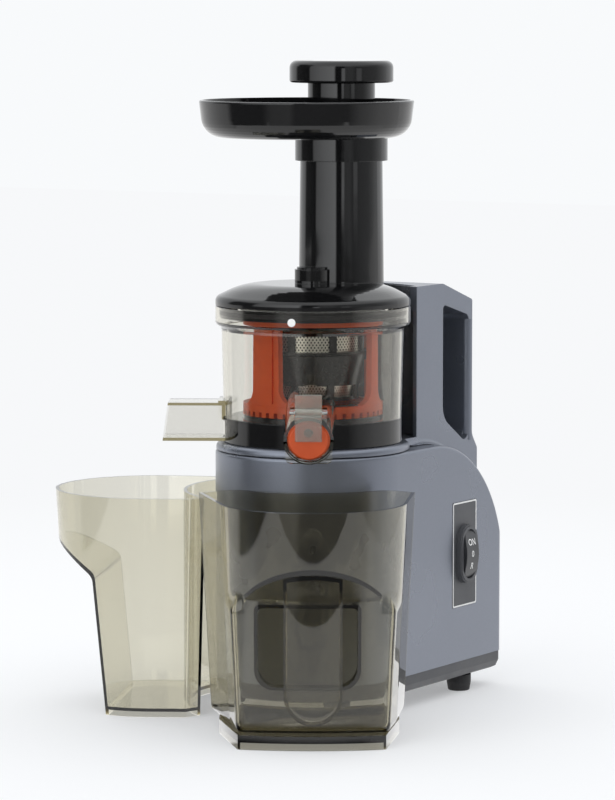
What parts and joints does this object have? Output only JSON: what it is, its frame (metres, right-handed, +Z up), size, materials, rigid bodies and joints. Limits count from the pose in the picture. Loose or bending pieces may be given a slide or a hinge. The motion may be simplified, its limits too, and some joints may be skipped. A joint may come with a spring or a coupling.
{
  "type": "cold press juicer",
  "caption": "Upright slow juicer with a geared base, rear carry handle, smoked bowl with auger, brush and strainer, lid with feed tube, tray and pusher, jug and pulp container.",
  "frame": {"origin": "on the worktop, under the middle of the whole set's box (base, jug and pulp container)", "axes": "+Z up; the base's front faces -Y, its switch side +X"},
  "size_m": [0.2983, 0.3205, 0.441],
  "materials": {
    "body_grey": "satin metallic paint on moulded plastic",
    "gloss_black": "polished black",
    "dark_plastic": "fine-textured dark grey",
    "rubber_black": "matt",
    "switch_black": "satin black",
    "steel": "turned steel",
    "core_steel": "stacked sheets",
    "copper": "enamelled wire",
    "cast_alloy": "die cast",
    "gear_nylon": "moulded",
    "smoke_plastic": "clear smoked",
    "smoke_vessel": "clear smoked, with an olive tint",
    "clear_plastic": "clear",
    "orange_silicone": "soft satin",
    "brush_orange": "satin",
    "strainer_plastic": "dark smoked",
    "strainer_steel": "perforated sheet",
    "auger_plastic": "moulded black",
    "white_dot": "printed spot"
  },
  "bodies": {
    "base": {"base_housing": "body_grey", "upper_housing": "body_grey", "tower_front_panel": "gloss_black", "base_plate": "dark_plastic", "feet": "rubber_black", "plate_screws": "steel", "switch_panel": "dark_plastic", "switch_bezel": "dark_plastic", "switch_module": "gloss_black", "cord_gland": "rubber_black", "motor_frame": "cast_alloy", "motor_stator": "core_steel", "motor_windings": "copper", "motor_bearings": "steel", "run_capacitor": "dark_plastic", "gearbox_housing": "cast_alloy", "gearbox_cover": "cast_alloy", "gearbox_screws": "steel", "shaft_bearings": "steel", "intermediate_axle": "steel", "deck_seal": "rubber_black"},
    "rocker": {"switch_rocker": "switch_black"},
    "rotor": {"motor_rotor": "core_steel", "motor_pinion": "steel"},
    "countershaft": {"intermediate_gear": "gear_nylon", "intermediate_pinion": "steel"},
    "output": {"output_gear": "gear_nylon", "drive_shaft": "steel"},
    "bowl": {"bowl": "smoke_plastic", "bowl_base": "gloss_black", "bowl_shaft_seal": "orange_silicone", "alignment_dot": "white_dot", "idler_pin": "steel", "cap_hinge_pin": "steel", "strainer_frame": "strainer_plastic", "strainer_mesh": "strainer_steel"},
    "idler": {"idler_gear": "gear_nylon"},
    "brush": {"brush_frame": "brush_orange", "brush_wipers": "orange_silicone"},
    "auger": {"auger": "auger_plastic", "auger_gear": "steel", "auger_shaft": "steel"},
    "spout_cap": {"spout_cap": "clear_plastic", "cap_seal": "orange_silicone"},
    "lid": {"lid": "gloss_black", "lid_seal": "rubber_black", "lid_bush": "gear_nylon"},
    "tray": {"feed_tray": "gloss_black"},
    "pusher": {"pusher_stem": "gloss_black", "pusher_cap": "gloss_black"},
    "jug": {"juice_jug": "smoke_vessel"},
    "pulp_container": {"pulp_container": "smoke_vessel"}
  },
  "joints": [
    {"name": "motor_spin", "type": "hinge", "parent": "base", "child": "rotor", "pos_m": [0.03737, 0.01995, 0.08], "axis": [0, 0, 1], "continuous": true},
    {"name": "countershaft_spin", "type": "hinge", "parent": "base", "child": "countershaft", "pos_m": [0.0175, 0.05175, 0.145], "axis": [0, 0, 1], "continuous": true},
    {"name": "output_spin", "type": "hinge", "parent": "base", "child": "output", "pos_m": [0.0175, 0.008, 0.15], "axis": [0, 0, 1], "continuous": true},
    {"name": "auger_spin", "type": "hinge", "parent": "bowl", "child": "auger", "pos_m": [0.0175, 0.008, 0.24], "axis": [0, 0, 1], "continuous": true},
    {"name": "idler_spin", "type": "hinge", "parent": "bowl", "child": "idler", "pos_m": [0.04045, 0.02125, 0.203], "axis": [0, 0, 1], "continuous": true},
    {"name": "brush_spin", "type": "hinge", "parent": "bowl", "child": "brush", "pos_m": [0.0175, 0.008, 0.235], "axis": [0, 0, 1], "continuous": true},
    {"name": "switch_tip", "type": "hinge", "parent": "base", "child": "rocker", "pos_m": [0.0856, 0.101, 0.099], "axis": [0, 1, 0], "range_deg": [-9, 9]},
    {"name": "bowl_lift", "type": "slide", "parent": "base", "child": "bowl", "axis": [0, 0, 1], "range_m": [0, 0.12]},
    {"name": "cap_swing", "type": "hinge", "parent": "bowl", "child": "spout_cap", "pos_m": [0.07855, -0.09774, 0.21445], "axis": [-0.866, -0.5, 0], "range_deg": [0, 65]},
    {"name": "lid_lift", "type": "slide", "parent": "bowl", "child": "lid", "axis": [0, 0, 1], "range_m": [0, 0.1]},
    {"name": "tray_lift", "type": "slide", "parent": "lid", "child": "tray", "axis": [0, 0, 1], "range_m": [0, 0.05]},
    {"name": "pusher_pull", "type": "slide", "parent": "tray", "child": "pusher", "axis": [0, 0, 1], "range_m": [0, 0.1]},
    {"name": "jug_slide", "type": "slide", "parent": "base", "child": "jug", "axis": [0.521, -0.8536, 0], "range_m": [0, 0.15]},
    {"name": "container_slide", "type": "slide", "parent": "base", "child": "pulp_container", "axis": [-0.9063, -0.4226, 0], "range_m": [0, 0.15]}
  ],
  "couplings": [
    {"joint": "countershaft_spin", "follows": "motor_spin", "ratio": -0.25},
    {"joint": "output_spin", "follows": "motor_spin", "ratio": 0.0625},
    {"joint": "auger_spin", "follows": "motor_spin", "ratio": 0.0625},
    {"joint": "idler_spin", "follows": "motor_spin", "ratio": -0.051724},
    {"joint": "brush_spin", "follows": "motor_spin", "ratio": -0.018293}
  ]
}
